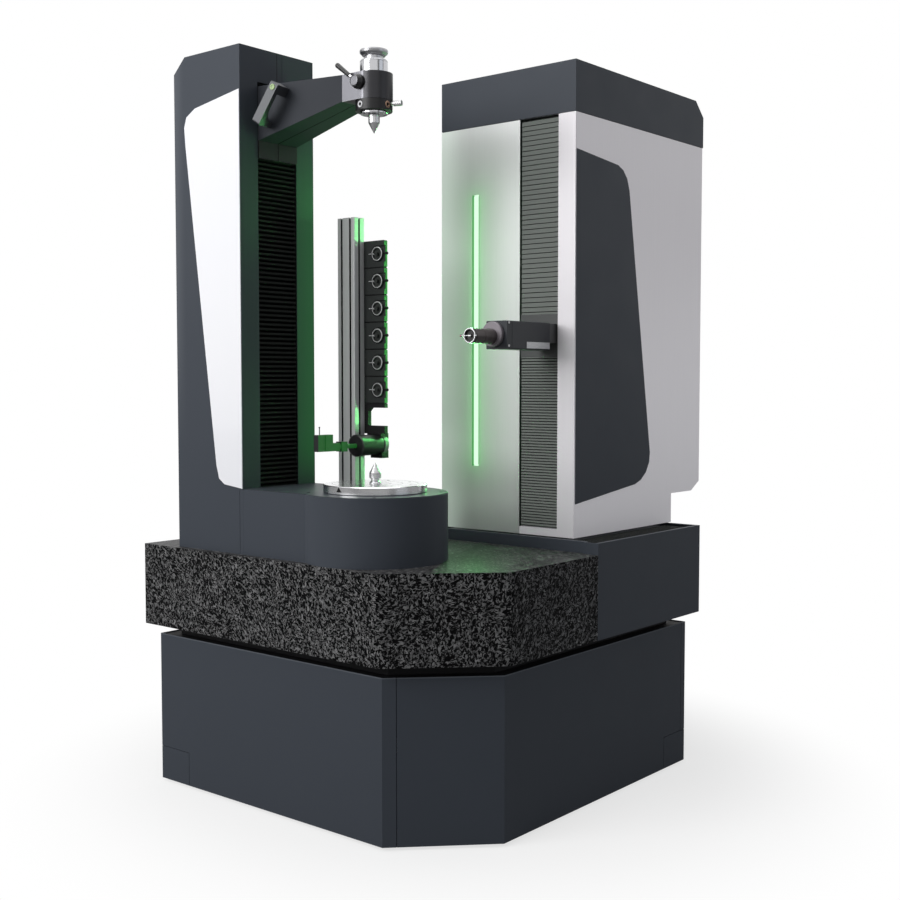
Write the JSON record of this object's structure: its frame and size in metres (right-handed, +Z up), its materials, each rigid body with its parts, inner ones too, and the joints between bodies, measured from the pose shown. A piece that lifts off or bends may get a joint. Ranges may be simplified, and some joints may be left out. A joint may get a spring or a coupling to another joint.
{
  "type": "gear measuring machine",
  "caption": "Gear measuring machine: granite bed on a cabinet, rotary table under a tailstock centre, sliding measuring column with a scanning probe, and a stylus rack.",
  "frame": {"origin": "centre of the overall box, on the floor under the levelling feet", "axes": "+Z up, -Y is the operator's front with the rotary table, +X to the right of the operator"},
  "size_m": [1.266, 1.514, 2.267],
  "materials": {
    "dark_paint": "satin powder coat",
    "silver_paint": "satin",
    "white_paint": "gloss",
    "black_metal": "matt",
    "frame_steel": "matt paint",
    "granite": "lapped stone",
    "ground_steel": "ground",
    "chrome": "polished",
    "iron": "painted casting",
    "alloy": "anodised",
    "black_alloy": "black anodised",
    "bellows": "coated fabric",
    "rubber": "matt",
    "light": "diffuser"
  },
  "bodies": {
    "stand": {"levelling_feet": "frame_steel", "base_frame": "frame_steel", "base_front_panel": "dark_paint", "base_side_panel": "dark_paint", "base_left_panel": "dark_paint", "base_rear_panel": "dark_paint", "corner_access_covers": "dark_paint", "isolators": "rubber", "shadow_skirt": "black_metal", "controller_unit": "silver_paint", "granite_bed": "granite", "rear_cover": "dark_paint", "x_guideways": "ground_steel", "x_bellows_left": "bellows", "x_bellows_right": "bellows", "table_housing": "dark_paint", "housing_top_plate": "dark_paint", "table_bearing": "ground_steel", "tail_column_casting": "iron", "tail_column_cover": "dark_paint", "tail_side_panel": "white_paint", "tail_guide_rails": "ground_steel", "tail_lift_cylinder": "alloy", "tail_lower_bellows": "bellows", "tail_upper_bellows": "bellows", "rack_post": "alloy", "rack_foot": "frame_steel", "stylus_holders": "black_metal", "parked_styli": "ground_steel", "rack_bracket": "black_metal", "parked_probe": "black_alloy"},
    "turntable": {"face_plate": "ground_steel", "table_spindle": "ground_steel", "lower_centre": "ground_steel"},
    "tail_arm": {"tail_carriage": "black_alloy", "arm_cover_front": "dark_paint", "arm_cover_rear": "dark_paint", "tail_head": "black_alloy", "grab_handle": "black_alloy", "clamp_ring": "black_alloy", "quill_sleeve": "chrome"},
    "quill": {"quill": "chrome"},
    "live_centre": {"live_centre": "ground_steel"},
    "clamp_lever": {"clamp_lever": "black_alloy"},
    "saddle": {"x_saddle": "iron", "y_guide_rails": "ground_steel"},
    "measuring_column": {"column_casting": "iron", "column_cap": "dark_paint", "column_front_panel": "silver_paint", "column_side_panel": "silver_paint", "side_inset_panel": "dark_paint", "column_rear_panel": "silver_paint", "light_strip": "light", "z_guideways": "ground_steel", "z_upper_bellows": "bellows", "z_lower_bellows": "bellows"},
    "measuring_slide": {"z_carriage": "black_alloy", "probe_arm": "black_alloy", "probe_body": "black_alloy"},
    "stylus": {"stylus_module": "ground_steel"}
  },
  "joints": [
    {"name": "table_spin", "type": "hinge", "parent": "stand", "child": "turntable", "pos_m": [0.174, -0.546, 0.9653], "axis": [0, 0, 1], "continuous": true},
    {"name": "tail_slide", "type": "slide", "parent": "stand", "child": "tail_arm", "axis": [0, 0, 1], "range_m": [-0.85, 0], "deforming": ["tail_lower_bellows", "tail_upper_bellows"]},
    {"name": "quill_slide", "type": "slide", "parent": "tail_arm", "child": "quill", "axis": [0, 0, 1], "range_m": [-0.01, 0], "stiffness_N_per_m": 3500, "springref_m": 0.02},
    {"name": "centre_spin", "type": "hinge", "parent": "quill", "child": "live_centre", "pos_m": [0.174, -0.546, 2.046], "axis": [0, 0, 1], "continuous": true},
    {"name": "clamp_lever_turn", "type": "hinge", "parent": "tail_arm", "child": "clamp_lever", "pos_m": [0.167, -0.6, 2.127], "axis": [0, 1, 0], "range_deg": [-10, 50]},
    {"name": "x_slide", "type": "slide", "parent": "stand", "child": "saddle", "axis": [1, 0, 0], "range_m": [-0.31, 0.05], "deforming": ["x_bellows_left", "x_bellows_right"]},
    {"name": "y_slide", "type": "slide", "parent": "saddle", "child": "measuring_column", "axis": [0, 1, 0], "range_m": [-0.17, 0.04]},
    {"name": "z_slide", "type": "slide", "parent": "measuring_column", "child": "measuring_slide", "axis": [0, 0, 1], "range_m": [-0.32, 0.38], "deforming": ["z_lower_bellows", "z_upper_bellows"]},
    {"name": "stylus_deflection", "type": "slide", "parent": "measuring_slide", "child": "stylus", "axis": [1, 0, 0], "range_m": [-0.001, 0.001], "stiffness_N_per_m": 500}
  ]
}
